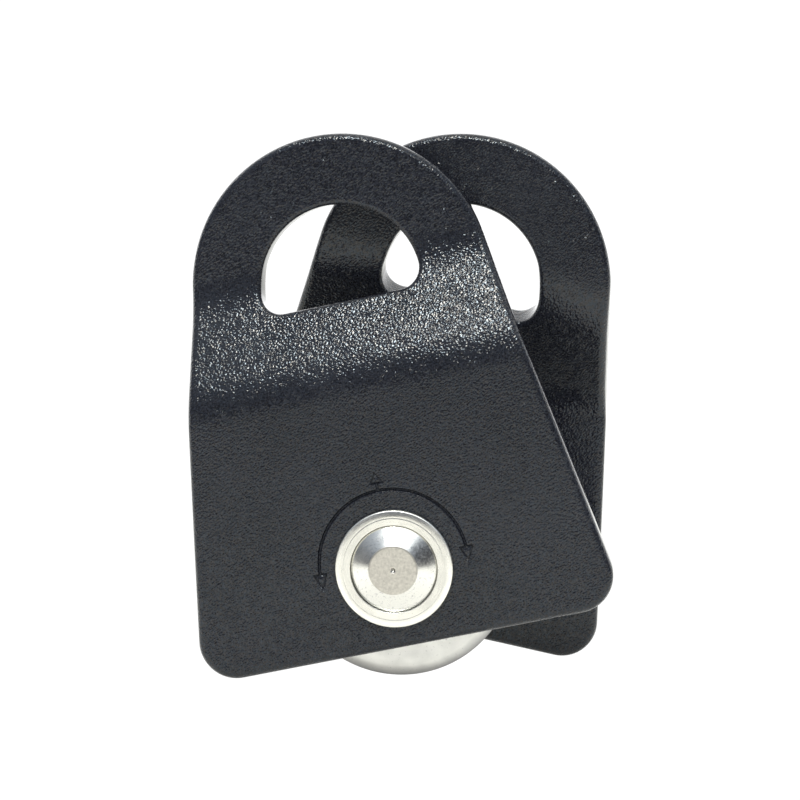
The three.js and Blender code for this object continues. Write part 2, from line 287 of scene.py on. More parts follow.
# ---------- side plates ----------
def d_loop(top_radius, bottom, corner_radius, side_steps):
    """The flared D shape of the plate and of its eye, as one loop of (x, height)."""
    flare = math.radians(FLARE_ANGLE)
    corner_height = bottom + corner_radius
    lean = (corner_height - HEAD_HEIGHT) * math.sin(flare)
    corner_x = (top_radius - corner_radius - lean) / math.cos(flare)
    half = [(corner_x * i / BOTTOM_STEPS, bottom) for i in range(BOTTOM_STEPS + 1)]
    for i in range(1, CORNER_STEPS + 1):
        angle = -math.pi / 2 + (flare + math.pi / 2) * i / CORNER_STEPS
        x = corner_x + corner_radius * math.cos(angle)
        half.append((x, corner_height + corner_radius * math.sin(angle)))
    foot = half[-1]
    head = (top_radius * math.cos(flare), HEAD_HEIGHT + top_radius * math.sin(flare))
    most = SIDE_BOW * math.dist(foot, head)
    for i in range(1, side_steps):
        share = i / side_steps
        bow = 4 * most * share * (1 - share)
        x = foot[0] + (head[0] - foot[0]) * share + bow * math.cos(flare)
        half.append((x, foot[1] + (head[1] - foot[1]) * share + bow * math.sin(flare)))
    for i in range(TOP_STEPS + 1):
        angle = flare + (math.pi / 2 - flare) * i / TOP_STEPS
        half.append((top_radius * math.cos(angle), HEAD_HEIGHT + top_radius * math.sin(angle)))
    half[-1] = (0.0, half[-1][1])
    return half + [(-x, h) for x, h in reversed(half[1:-1])]


def outline(inset):
    return d_loop(HEAD_RADIUS - inset, inset - BOTTOM_DEPTH, BOTTOM_CORNER_RADIUS - inset, SIDE_STEPS)


def eye(inset):
    return d_loop(EYE_RADIUS + inset, EYE_FLOOR - inset, EYE_CORNER_RADIUS + inset, EYE_SIDE_STEPS)


def bore(inset):
    radius = PLATE_BORE_RADIUS + inset
    angles = [math.radians(360 * i / BORE_STEPS) for i in range(BORE_STEPS)]
    return [(radius * math.cos(a), radius * math.sin(a)) for a in angles]


def arrowhead(base, tip, inset):
    """A triangle (half of its base, height of its base, height of its tip) drawn in from its outline."""
    length = abs(tip - base)
    towards = math.copysign(1, tip - base)
    slant = math.hypot(MARK_HEAD_HALF, length) / length
    half = MARK_HEAD_HALF * (length - inset) / length - slant * inset
    return half, base + towards * inset, tip - towards * slant * inset * length / MARK_HEAD_HALF


def mark(inset):
    """Outline of the stamped mark: an arc over the axle with an arrowhead at each end and one on top."""
    outer = MARK_RADIUS + MARK_HALF_WIDTH - inset
    inner = MARK_RADIUS - MARK_HALF_WIDTH + inset
    half, base, tip = arrowhead(MARK_BASE, MARK_TIP, inset)
    up_half, up_base, up_tip = arrowhead(UP_BASE, UP_TIP, inset)
    stem = UP_STEM_HALF - inset

    def side(radius, start, end):
        angles = [start + (end - start) * i / ARC_STEPS for i in range(ARC_STEPS + 1)]
        return [(radius * math.sin(a), MARK_CENTRE + radius * math.cos(a)) for a in angles]

    outer_end = math.acos((base - MARK_CENTRE) / outer)
    inner_end = math.acos((base - MARK_CENTRE) / inner)
    right = [(0.0, up_tip), (up_half, up_base), (stem, up_base)]
    right += side(outer, math.asin(stem / outer), outer_end)
    right += [(MARK_RADIUS + half, base), (MARK_RADIUS, tip), (MARK_RADIUS - half, base)]
    right += side(inner, inner_end, 0)
    return right + [(-x, h) for x, h in reversed(right[1:-1])]


def islands(inset):
    """The triangles left standing inside the arrowheads."""
    out = []
    ends = [(x, MARK_BASE, MARK_TIP) for x in (-MARK_RADIUS, MARK_RADIUS)]
    for x, base, tip in (*ends, (0, UP_BASE, UP_TIP)):
        half, low, high = arrowhead(base, tip, inset)
        if half > LEAST_ISLAND:
            out.append([(x - half, low), (x + half, low), (x, high)])
    return out


def joggle_at(height):
    """How far the joggle has carried the outer face inwards at a height, and its slope there."""
    steepness = (CHEEK_FACE_Y - HEAD_INNER_Y - PLATE_THICKNESS) / (JOGGLE_HIGH - JOGGLE_LOW)

    def blended(past):
        t = min(max(past, -JOGGLE_BLEND), JOGGLE_BLEND) + JOGGLE_BLEND
        return t * t / (4 * JOGGLE_BLEND) + max(past - JOGGLE_BLEND, 0)

    def risen(past):
        return (min(max(past / JOGGLE_BLEND, -1), 1) + 1) / 2

    low, high = height - JOGGLE_LOW, height - JOGGLE_HIGH
    return steepness * (blended(low) - blended(high)), steepness * (risen(low) - risen(high))


def bend(x, height, depth):
    """A point of the flat plate, depth below its outer face, moved to its place on the pressed one."""
    offset, slope = joggle_at(height)
    tilt = math.atan(slope)
    return (x, -CHEEK_FACE_Y + offset + depth * math.cos(tilt), height - depth * math.sin(tilt))


def inside(points, loop):
    """Which of the points lie inside a loop."""
    p = np.asarray(points, float)
    a = np.asarray(loop, float)
    b = np.roll(a, -1, axis=0)
    result = np.zeros(len(p), bool)
    for (ax, ay), (bx, by) in zip(a, b):
        if ay == by:
            continue
        crosses = ((ay > p[:, 1]) != (by > p[:, 1])) & (p[:, 0] < (bx - ax) * (p[:, 1] - ay) / (by - ay) + ax)
        result ^= crosses
    return result


def fill(boundary, holes, spaced=()):
    """Triangles that fill a loop apart from its holes, with extra points inside it."""
    loops = [boundary, *holes]
    points = [Vector(p) for loop in loops for p in loop]
    edges = []
    start = 0
    for loop in loops:
        edges += [(start + i, start + (i + 1) % len(loop)) for i in range(len(loop))]
        start += len(loop)
    points += [Vector(p) for p in spaced]
    made, _, triangles, *_ = delaunay_2d_cdt(points, edges, [], 0, 1e-7)
    made = np.array([tuple(p) for p in made])
    triangles = np.array(triangles)
    middles = made[triangles].mean(axis=1)
    keep = inside(middles, boundary)
    for hole in holes:
        keep &= ~inside(middles, hole)
    return made, triangles[keep]


def grid(boundary, holes):
    """Points in rows inside a loop and outside its holes."""
    xs = np.arange(-GRID_HALF, GRID_HALF, FACE_PITCH)
    rows = np.arange(GRID_LOW, GRID_HIGH, ROW_PITCH)
    points = [(x + (r % 2) * FACE_PITCH / 2, h) for r, h in enumerate(rows) for x in xs]
    keep = inside(points, boundary)
    for hole in holes:
        keep &= ~inside(points, hole)
    return [p for p, k in zip(points, keep) if k]


def edge_section(radius):
    """(inset, depth) across the plate's edge, rounded at both faces."""
    angles = [math.radians(a) for a in range(EDGE_STEP, 91, EDGE_STEP)]
    quarter = [(radius * (1 - math.sin(a)), radius * (1 - math.cos(a))) for a in angles]
    near = [(radius + SUPPORT, 0), (radius, 0), *quarter]
    far = [(i, PLATE_THICKNESS - d) for i, d in reversed(near)]
    middle = [(0, PLATE_THICKNESS * f) for f in (0.4, 0.5, 0.6)]
    return near + middle + far


def plate_mesh():
    """Points and faces of the pressed plate, with rounded edges and the mark stamped in its outer face."""
    points = []
    faces = []

    def add(loop, depth):
        first = len(points)
        points.extend(bend(x, h, depth) for x, h in loop)
        return first, len(loop)

    def join(one, other):
        for i in range(one[1]):
            j = (i + 1) % one[1]
            faces.append((one[0] + i, one[0] + j, other[0] + j, other[0] + i))

    def cover(flat, triangles, depth):
        first = len(points)
        points.extend(bend(x, h, depth) for x, h in flat)
        faces.extend(tuple(first + v for v in t) for t in triangles)

    for shape, radius in ((outline, PLATE_EDGE), (eye, EYE_EDGE), (bore, BORE_EDGE)):
        rings = [add(shape(inset), depth) for inset, depth in edge_section(radius)]
        for one, other in zip(rings, rings[1:]):
            join(one, other)

    rings = [add(mark(inset), depth) for inset, depth in MARK_WALL]
    for one, other in zip(rings, rings[1:]):
        join(one, other)
    upper, lower = MARK_WALL[0][0], MARK_WALL[-1][0]
    feet, tops = islands(lower + ISLAND_GAP), islands(lower + ISLAND_TOP_GAP)
    cover(*fill(mark(lower), feet[: len(tops)]), MARK_DEPTH)
    for foot, top in zip(feet, tops):
        join(add(foot, MARK_DEPTH), add(top, ISLAND_DEPTH))
        faces.append(tuple(range(len(points) - 3, len(points))))

    rim = outline(PLATE_EDGE + SUPPORT)
    holes = [eye(EYE_EDGE + SUPPORT), bore(BORE_EDGE + SUPPORT)]
    wide = [eye(EYE_EDGE + SUPPORT + FACE_MARGIN), bore(BORE_EDGE + SUPPORT + FACE_MARGIN)]
    narrow = outline(PLATE_EDGE + SUPPORT + FACE_MARGIN)
    cover(*fill(rim, [*holes, mark(upper)], grid(narrow, [*wide, mark(upper - FACE_MARGIN)])), 0)
    cover(*fill(rim, holes, grid(narrow, wide)), PLATE_THICKNESS)
    return points, faces


# ---------- materials ----------
def new_material(name):
    material = bpy.data.materials.new(name)
    material.use_nodes = True
    tree = material.node_tree
    tree.nodes.clear()
    output = tree.nodes.new("ShaderNodeOutputMaterial")
    shader = tree.nodes.new("ShaderNodeBsdfPrincipled")
    tree.links.new(shader.outputs["BSDF"], output.inputs["Surface"])
    return material, Graph(tree), shader


class Graph:
    """Short calls for making and linking shader nodes."""

    def __init__(self, tree):
        self.tree = tree

    def node(self, kind, settings=None, **inputs):
        made = self.tree.nodes.new("ShaderNode" + kind)
        for key, value in (settings or {}).items():
            setattr(made, key, value)
        for key, value in inputs.items():
            self.put(made, key.replace("_", " "), value)
        return made

    def put(self, node, key, value):
        socket = node.inputs[int(key) if key.isdigit() else key]
        if isinstance(value, bpy.types.NodeSocket):
            self.tree.links.new(value, socket)
        else:
            socket.default_value = value

    def math(self, operation, *values):
        made = self.node("Math", {"operation": operation})
        for i, value in enumerate(values):
            self.put(made, str(i), value)
        return made.outputs[0]

    def millimetres(self, stretch=(1, 1, 1), turn=(0, 0, 0)):
        """Coordinates of the piece itself, in millimetres, stretched along its axes."""
        place = self.node("TexCoord").outputs["Object"]
        scaled = self.node("Mapping", {"vector_type": "TEXTURE"}, Vector=place)
        scaled.inputs["Rotation"].default_value = turn
        scaled.inputs["Scale"].default_value = tuple(MM * s for s in stretch)
        return scaled.outputs["Vector"]

    def noise(self, vector, scale, detail=2.0, roughness=0.5, distortion=0.0):
        made = self.node("TexNoise", Vector=vector, Scale=scale, Detail=detail)
        self.put(made, "Roughness", roughness)
        self.put(made, "Distortion", distortion)
        return made.outputs["Fac"]

    def span(self, value, low, high, to_low=0.0, to_high=1.0):
        made = self.node("MapRange", {"clamp": True}, Value=value)
        for key, number in (("From Min", low), ("From Max", high), ("To Min", to_low), ("To Max", to_high)):
            made.inputs[key].default_value = number
        return made.outputs["Result"]

    def colours(self, value, *stops):
        made = self.node("ValToRGB", Fac=value)
        ramp = made.color_ramp
        while len(ramp.elements) < len(stops):
            ramp.elements.new(0.5)
        for element, (place, colour) in zip(ramp.elements, stops):
            element.position = place
            element.color = (*colour, 1)
        return made.outputs["Color"]

    def mix(self, share, first, second):
        made = self.node("Mix", {"data_type": "RGBA"})
        self.put(made, "0", share)
        for index, value in ((6, first), (7, second)):
            self.put(made, str(index), (*value, 1) if isinstance(value, tuple) else value)
        return made.outputs[2]

    def round_axle(self):
        """(radius, y) of the piece about the axle, in millimetres."""
        split = self.node("SeparateXYZ", Vector=self.millimetres())
        squares = [self.math("POWER", split.outputs[k], 2.0) for k in (0, 2)]
        return self.math("SQRT", self.math("ADD", *squares)), split.outputs[1]

    def turning(self, scale, wander=0.15):
        """Value that changes with the radius, like a lathe tool's marks, and a little round the piece."""
        radius, y = self.round_axle()
        along = self.node("SeparateXYZ", Vector=self.millimetres())
        x, z = [self.math("MULTIPLY", along.outputs[k], wander) for k in (0, 2)]
        drift = self.node("CombineXYZ", X=x, Y=radius, Z=z)
        moved = self.node("VectorMath", {"operation": "ADD"})
        self.put(moved, "0", drift.outputs[0])
        self.put(moved, "1", self.node("CombineXYZ", X=y).outputs[0])
        return self.noise(moved.outputs[0], scale, 3.0, 0.6)

    def blend(self, first, second, share=0.5):
        """Sum of two values, with a share of the second."""
        return self.math("ADD", self.math("MULTIPLY", first, 1 - share), self.math("MULTIPLY", second, share))

    def bump(self, height, depth):
        """Normal for a height from 0 to 1 that stands for a depth in millimetres."""
        return self.node("Bump", Height=height, Strength=1.0, Distance=depth * MM).outputs["Normal"]


def plate_coat():
    """Fine wrinkled powder coat, blue-black. It is smoother on cut walls, and reflects less in the mark, as
    painted shade in the mark's narrow groove.
    """
    material, g, shader = new_material("wrinkled_powder_coat")
    wrinkles = g.noise(g.millimetres((1.3, 1.0, 0.8), (0, math.radians(-38), 0)), 3.3, 0.0, 0.5, 0.15)
    patches = g.span(g.noise(g.millimetres(), 0.9, 1.0), 0.38, 0.68, 0.85, 1.8)
    waves = g.noise(g.millimetres(), 1.2, 1.0)
    clouds = g.noise(g.millimetres(), 0.06, 3.0)
    facing = g.node("SeparateXYZ", Vector=g.node("TexCoord").outputs["Normal"]).outputs[1]
    on_face = g.span(g.math("ABSOLUTE", facing), 0.12, 0.45, 0.12, 1.0)
    raised = g.math("MULTIPLY", g.math("SUBTRACT", wrinkles, 0.5), patches)
    height = g.blend(raised, waves, 0.15)
    tone = g.blend(g.noise(g.millimetres(), 3.7, 1.0), clouds, 0.2)
    colour = g.colours(tone, (0.38, (0.0045, 0.005, 0.0075)), (0.64, (0.019, 0.0205, 0.027)))
    g.put(shader, "Base Color", colour)
    g.put(shader, "Roughness", g.span(clouds, 0.3, 0.7, 0.1, 0.13))
    tint = g.colours(g.noise(g.millimetres(), 2.8, 1.0), (0.42, (1.0, 0.96, 0.87)), (0.58, (0.8, 0.93, 1.0)))
    g.put(shader, "Specular Tint", tint)
    radius, y = g.round_axle()
    # painted shade: the coat reflects less inside the stamped mark, standing in for the shade in its narrow
    # groove
    sunk = g.span(g.math("ABSOLUTE", y), CHEEK_FACE_Y - 0.04, CHEEK_FACE_Y - 0.25)
    painted_mark_shade = g.math("MULTIPLY", sunk, g.span(radius, 18.0, 17.5))
    g.put(shader, "Specular IOR Level", g.span(painted_mark_shade, 0.0, 1.0, 0.5, 0.26))
    g.put(shader, "Normal", g.bump(g.math("MULTIPLY", height, on_face), 0.088))
    shader.inputs["IOR"].default_value = 1.43
    return material


def turned_metal(g, shader, anisotropy):
    """Makes a material metallic, with highlights that stretch across its turning lines."""
    shader.inputs["Metallic"].default_value = 1.0
    shader.inputs["Anisotropic"].default_value = anisotropy
    tangent = g.node("Tangent", {"direction_type": "RADIAL", "axis": "Y"})
    g.put(shader, "Tangent", tangent.outputs[0])


def turned_steel(name, colour, roughness, anisotropy, marks=0.006, rim=None):
    """Steel off the lathe. Beyond the radius rim, where there is one, a painted highlight makes it brighter.
    """
    material, g, shader = new_material(name)
    lines = g.turning(3.2)
    smears = g.noise(g.millimetres(), 0.45, 3.0)
    specks = g.span(g.noise(g.millimetres(), 3.4, 2.0), 0.66, 0.74)
    dark = tuple(0.62 * c for c in colour)
    tinted = g.mix(g.span(smears, 0.4, 0.75, 0.0, 0.35), colour, tuple(0.88 * c for c in colour))
    if rim:
        # painted highlight: the colour is brighter over the flange's crown
        radius, _ = g.round_axle()
        tinted = g.mix(g.span(radius, rim, rim + 0.4), tinted, tuple(1.2 * c for c in colour))
    g.put(shader, "Base Color", g.mix(g.math("MULTIPLY", specks, 0.45), tinted, dark))
    uneven = g.blend(lines, smears, 0.4)
    g.put(shader, "Roughness", g.span(uneven, 0.3, 0.7, roughness * 0.8, roughness * 1.25))
    g.put(shader, "Normal", g.bump(lines, marks))
    turned_metal(g, shader, anisotropy)
    return material


def pin_steel():
    """The axle pin: ends faced matt, the rest of each head polished, and a tarnished spot on one side.
    Painted shade darkens the edge of each end's flat, more towards its top, and the middle of each punch
    mark.
    """
    material, g, shader = new_material("pin_stainless")
    radius, y = g.round_axle()
    facing = g.span(g.math("ABSOLUTE", y), PIN_HEAD_TOP - 0.09, PIN_HEAD_TOP - 0.03)
    grit = g.noise(g.millimetres(), 2.3, 4.0, 0.7)
    smears = g.noise(g.millimetres(), 0.7, 3.0)
    pits = g.span(g.noise(g.millimetres(), 3.1, 2.0), 0.6, 0.7)
    polished = g.mix(g.math("MULTIPLY", pits, 0.5), (0.71, 0.705, 0.66), (0.3, 0.3, 0.3))
    matt = g.mix(g.span(grit, 0.35, 0.7), (0.6, 0.575, 0.51), (0.43, 0.41, 0.365))
    beside = g.node("VectorMath", {"operation": "DISTANCE"})
    g.put(beside, "0", g.millimetres((1, 100, 1)))
    g.put(beside, "1", (5.1, 0, 2.5))
    speckled = g.span(g.noise(g.millimetres(), 2.2, 4.0, 0.7), 0.36, 0.6, 0.25, 1.0)
    tarnish = g.math("MULTIPLY", g.span(beside.outputs["Value"], 2.6, 1.2), speckled)
    polished = g.mix(g.math("MULTIPLY", tarnish, 0.85), polished, (0.13, 0.13, 0.13))
    # painted shade: a dark ring round the edge of each end's flat, stronger towards its top
    height = g.node("SeparateXYZ", Vector=g.millimetres()).outputs[2]
    off_edge = g.math("ABSOLUTE", g.math("SUBTRACT", radius, PIN_FLAT_RADIUS))
    painted_flat_edge_shade = g.math("MULTIPLY", g.span(off_edge, 0.2, 0.05), g.span(height, -2.0, 2.0, 0.1, 0.5))
    # painted shade also darkens the middle of each punch mark
    painted_pin_shade = g.math("MAXIMUM", painted_flat_edge_shade, g.span(radius, 0.45, 0.25, 0.0, 0.8))
    g.put(shader, "Base Color", g.mix(painted_pin_shade, g.mix(facing, polished, matt), (0.2, 0.19, 0.17)))
    smooth = g.span(smears, 0.3, 0.7, 0.2, 0.28)
    rough = g.span(grit, 0.3, 0.7, 0.42, 0.56)
    blend = g.node("Mix", {"data_type": "FLOAT"})
    for index, value in ((0, facing), (2, smooth), (3, rough)):
        g.put(blend, str(index), value)
    g.put(shader, "Roughness", blend.outputs[0])
    scored = g.math("MULTIPLY", g.turning(4.0), 0.08)
    g.put(shader, "Normal", g.bump(g.math("ADD", g.math("MULTIPLY", grit, facing), scored), 0.02))
    shader.inputs["Metallic"].default_value = 1.0
    return material


def sheave_alloy():
    """Machined aluminium with fine turning lines and specks, and painted shade that darkens it towards the
    rim.
    """
    material, g, shader = new_material("machined_aluminium")
    lines = g.turning(2.4, 0.06)
    patches = g.noise(g.millimetres(), 0.35, 3.0)
    pits = g.span(g.noise(g.millimetres(), 2.6, 2.0), 0.68, 0.76)
    pale = g.mix(g.span(patches, 0.35, 0.7), (0.75, 0.745, 0.71), (0.65, 0.65, 0.62))
    radius, _ = g.round_axle()
    # painted shade: the colour darkens over the rounded rim, as if the lip reflected the shadowed floor under
    # the block
    painted_rim_shade = g.mix(g.span(radius, 17.3, 18.9, 0.0, 0.75), pale, (0.2, 0.2, 0.21))
    g.put(shader, "Base Color", g.mix(g.math("MULTIPLY", pits, 0.6), painted_rim_shade, (0.34, 0.34, 0.33)))
    g.put(shader, "Roughness", g.span(g.blend(lines, patches), 0.3, 0.7, 0.34, 0.5))
    g.put(shader, "Normal", g.bump(lines, 0.012))
    turned_metal(g, shader, 0.5)
    return material


def seal_rubber():
    material, g, shader = new_material("seal_rubber")
    grain = g.noise(g.millimetres(), 5.0, 3.0)
    rings = g.turning(1.2, 0.0)
    tone = g.blend(grain, rings)
    g.put(shader, "Base Color", g.colours(tone, (0.3, (0.012, 0.012, 0.013)), (0.7, (0.03, 0.03, 0.031))))
    g.put(shader, "Roughness", g.span(grain, 0.3, 0.7, 0.55, 0.75))
    g.put(shader, "Normal", g.bump(g.math("ADD", grain, rings), 0.02))
    return material


def cage_polymer():
    material, g, shader = new_material("cage_polymer")
    grain = g.noise(g.millimetres(), 4.0, 3.0)
    g.put(shader, "Base Color", g.colours(grain, (0.3, (0.36, 0.31, 0.2)), (0.7, (0.46, 0.41, 0.28))))
    g.put(shader, "Roughness", g.span(grain, 0.3, 0.7, 0.4, 0.55))
    g.put(shader, "Normal", g.bump(grain, 0.015))
    shader.inputs["Subsurface Weight"].default_value = 0.1
    return material


COAT = plate_coat()
BUSH_STEEL = turned_steel("bush_stainless", (0.67, 0.66, 0.605), 0.26, 0.65, rim=8.5)
SPACER_STEEL = turned_steel("spacer_stainless", (0.66, 0.655, 0.63), 0.3, 0.5)
RING_STEEL = turned_steel("bearing_chrome_steel", (0.63, 0.64, 0.65), 0.14, 0.3, 0.003)
BALL_STEEL = turned_steel("ball_chrome_steel", (0.68, 0.69, 0.7), 0.07, 0.0, 0.0005)
PIN_STEEL = pin_steel()
ALLOY = sheave_alloy()
RUBBER = seal_rubber()
POLYMER = cage_polymer()

# ---------- side plates ----------
plate_points, plate_faces = plate_mesh()
for node, swing, turn in (("front_plate", FRONT_SWING, 0), ("back_plate", BACK_SWING, math.pi)):
    placed = Matrix.Rotation(math.radians(swing), 3, "Y") @ Matrix.Rotation(turn, 3, "Z")
    plate = make_object(node + "_coated", [placed @ Vector(p) for p in plate_points], plate_faces)
    add_piece(plate, node, "side_plate", COAT, node)


# ---------- axle ----------
def pin_profile():
    """Half of the pin from the middle of its end to the middle of its length, outwards from the mid-plane."""
    underside = PIN_HEAD_SEAT + PIN_PLAY
    edge = rounded(
        [
            (PUNCH_RIM, PIN_HEAD_TOP),
            (PIN_FLAT_RADIUS, PIN_HEAD_TOP, 0.8),
            (PIN_HEAD_RADIUS, PIN_CONE_FOOT, 0.1),
            (PIN_HEAD_RADIUS, underside, 0.12),
            (PIN_RADIUS, underside, 0.15),
            (PIN_RADIUS, 0),
        ]
    )
    return PUNCH_DENT + edge[1:-1]


half_pin = pin_profile()
whole_pin = on_side(half_pin, FRONT) + on_side(half_pin, BACK)[::-1]
add_piece(lathe("axle_pin_turned", whole_pin, HEAD_SEGMENTS), "axle", "axle_steel", PIN_STEEL, "axle_pin")


def bush_profile():
    """The flange has a flat ring beside its dish, a fine groove, and a crown that rolls into its edge."""
    crown = []
    drop = 0.0
    for i in range(1, CROWN_STEPS + 1):
        tilt = math.radians(CROWN_TILT * (i - 0.5) / CROWN_STEPS)
        drop += math.tan(tilt) * CROWN_WIDTH / CROWN_STEPS
        crown.append((CROWN_START + CROWN_WIDTH * i / CROWN_STEPS, BUSH_FLANGE_FACE - drop))
    steepest = math.radians(CROWN_TILT)
    edge_radius = CROWN_ROLL / (1 - math.sin(steepest))
    edge_y = crown[-1][1] - edge_radius * math.cos(steepest)
    edge = []
    for degrees in (68, 58, 48, 38, 28, 18, 9, 0):
        a = math.radians(degrees)
        radius = BUSH_FLANGE_RADIUS - edge_radius * (1 - math.cos(a))
        edge.append((radius, edge_y + edge_radius * math.sin(a)))
    flat, sunk = BUSH_FLANGE_FACE, BUSH_FLANGE_FACE - 0.02
    groove = [(8.26, flat), (8.29, sunk), (8.32, sunk), (8.35, flat)]
    face = [(FLAT_RING_EDGE, flat), *groove, (CROWN_START, flat)]
    foot = rounded(
        [
            (BUSH_FLANGE_RADIUS, edge_y),
            (BUSH_FLANGE_RADIUS, BUSH_FLANGE_BACK, 0.15),
            (BUSH_SLEEVE, BUSH_FLANGE_BACK, 0.1),
            (BUSH_SLEEVE, BUSH_INNER_END, 0.2),
            (BEARING_BORE, BUSH_INNER_END, 0.2),
            (BEARING_BORE, PIN_HEAD_SEAT, 0.1),
            (BUSH_DISH, PIN_HEAD_SEAT, 0.1),
            (BUSH_DISH, BUSH_FLANGE_FACE, 0.12),
            (FLAT_RING_EDGE, BUSH_FLANGE_FACE),
        ]
    )
    return face + crown + edge + foot[1:-1]


def spacer_profile():
    return rounded(
        [
            (BEARING_BORE, BUSH_INNER_END, 0.1),
            (BEARING_BORE, SHEAVE_HALF, 0.15),
            (SPACER_BOSS, SHEAVE_HALF, 0.15),
            (SPACER_BOSS, SPACER_FLANGE_Y, 0.1),
            (SPACER_FLANGE, SPACER_FLANGE_Y, 0.25),
            (SPACER_FLANGE, BUSH_INNER_END, 0.25),
        ]
    )


for place, side in (("front", FRONT), ("back", BACK)):
    bush = lathe(f"{place}_flanged_bush_turned", on_side(bush_profile(), side), HEAD_SEGMENTS)
    add_piece(bush, "axle", "axle_steel", BUSH_STEEL, f"{place}_flanged_bush")
    spacer = lathe(f"{place}_spacer_turned", on_side(spacer_profile(), side))
    add_piece(spacer, "axle", "axle_steel", SPACER_STEEL, f"{place}_spacer")

sleeve_half = SHEAVE_HALF - 2 * BEARING_HALF
sleeve_corners = [(BEARING_BORE, -sleeve_half), (SPACER_BOSS, -sleeve_half)]
sleeve_corners += on_side(sleeve_corners, -1)[::-1]
sleeve = lathe("centre_sleeve_turned", rounded([(*c, 0.2) for c in sleeve_corners]))
add_piece(sleeve, "axle", "axle_steel", SPACER_STEEL, "centre_sleeve")


# ---------- sheave ----------
def sheave_profile():
    """Closed profile of the sheave: round groove, sides that roll over to the rim, and a rib in the bore."""
    rib = SHEAVE_HALF - 2 * BEARING_HALF
    groove_centre = TREAD_RADIUS + GROOVE_RADIUS
    lip_y = SHEAVE_HALF - LIP_DROP
    reach = SHEAVE_RADIUS - 0.25 - LIP_START
    lip = []
    for a in range(0, 76, 5):
        angle = math.radians(a)
        lip.append((LIP_START + reach * math.sin(angle), lip_y + LIP_DROP * math.cos(angle)))
    lip += arc(SHEAVE_RADIUS - 0.3, lip_y, 0.3, 30, -70, 6)
    start = math.degrees(math.acos((SHEAVE_RADIUS - 0.2 - groove_centre) / GROOVE_RADIUS))
    groove = arc(groove_centre, 0, GROOVE_RADIUS, start, 360 - start, 48)
    bore_side = rounded(
        [
            (LIP_START - 0.5, SHEAVE_HALF),
            (BEARING_OUTER + 0.05, SHEAVE_HALF, 0.3),
            (BEARING_OUTER + 0.05, rib, 0.1),
            (OUTER_SHOULDER, rib, 0.2),
            (OUTER_SHOULDER, 0),
        ]
    )
    upper = bore_side[1:-1][::-1] + [(LIP_START - 0.5, SHEAVE_HALF)] + lip
    return upper + groove + on_side(upper, -1)[::-1]


sheave = lathe("sheave_turned", sheave_profile(), SHEAVE_SEGMENTS)
add_piece(sheave, "sheave", "sheave_alloy", ALLOY, "sheave")


# ---------- ball bearings ----------
def lip_angle(shoulder):
    return math.degrees(math.acos(abs(BALL_PITCH - shoulder) / RACE_RADIUS))


def inner_ring(middle):
    lip = lip_angle(INNER_SHOULDER)
    near = rounded(
        [
            (INNER_SHOULDER, 0),
            (INNER_SHOULDER, BEARING_HALF, 0.15),
            (BEARING_BORE, BEARING_HALF, 0.3),
            (BEARING_BORE, 0),
        ]
    )[1:-1]
    race = arc(BALL_PITCH, 0, RACE_RADIUS, 180 + lip, 180 - lip, 24)
    return [(r, middle + y) for r, y in race + near + on_side(near, -1)[::-1]]


def outer_ring(middle):
    lip = lip_angle(OUTER_SHOULDER)
    seat = BEARING_HALF - SEAL_SEAT_DEPTH
    near = rounded(
        [
            (OUTER_SHOULDER, 0),
            (OUTER_SHOULDER, seat, 0.08),
            (SEAL_SEAT_RADIUS, seat, 0.05),
            (SEAL_SEAT_RADIUS, BEARING_HALF, 0.1),
            (BEARING_OUTER, BEARING_HALF, 0.3),
            (BEARING_OUTER, 0),
        ]
    )[1:-1]
    race = arc(BALL_PITCH, 0, RACE_RADIUS, -lip, lip, 24)
    return [(r, middle + y) for r, y in race + near + on_side(near, -1)[::-1]]


def seal_profile(middle, side):
    """A thin shield with a pressed ring and a thicker lip at its bore."""
    near = middle + side * (BEARING_HALF - SEAL_SEAT_DEPTH + 0.05)
    inner, outer = INNER_SHOULDER + 0.1, SEAL_SEAT_RADIUS - 0.05
    far = SEAL_THICKNESS
    shape = rounded(
        [
            (inner, 0, 0.08),
            (outer, 0, 0.08),
            (outer, far, 0.12),
            (outer - 0.35, far, 0.08),
            (outer - 0.5, far - 0.12, 0.08),
            (inner + 0.7, far - 0.12, 0.08),
            (inner + 0.5, far, 0.08),
            (inner, far, 0.12),
        ],
        3,
    )
    return [(r, near + side * y) for r, y in shape]


def ball_profile(radius):
    return [(0, -radius)] + arc(0, 0, radius, -82.5, 82.5, 22) + [(0, radius)]


def ball_spots():
    """The (x, z) of each ball's centre."""
    angles = [2 * math.pi * i / BALL_COUNT for i in range(BALL_COUNT)]
    return [(BALL_PITCH * math.cos(a), -BALL_PITCH * math.sin(a)) for a in angles]


def pocketed(ring, middle):
    """The cage's ring with a round pocket cut for each ball."""
    pocket = [(r, middle + y) for r, y in ball_profile(POCKET_RADIUS)]
    cutters = [lathe("pocket", pocket, BALL_SEGMENTS, spot) for spot in ball_spots()]
    for cutter in cutters:
        cut = ring.modifiers.new("pocket", "BOOLEAN")
        cut.operation = "DIFFERENCE"
        cut.solver = "EXACT"
        cut.object = cutter
    bpy.context.view_layer.update()
    shaped = bpy.data.meshes.new_from_object(ring.evaluated_get(bpy.context.evaluated_depsgraph_get()))
    ring.modifiers.clear()
    ring.data = shaped
    shaped.shade_smooth()
    shaped.set_sharp_from_angle(angle=math.radians(35))
    for cutter in cutters:
        bpy.data.objects.remove(cutter)
    return ring


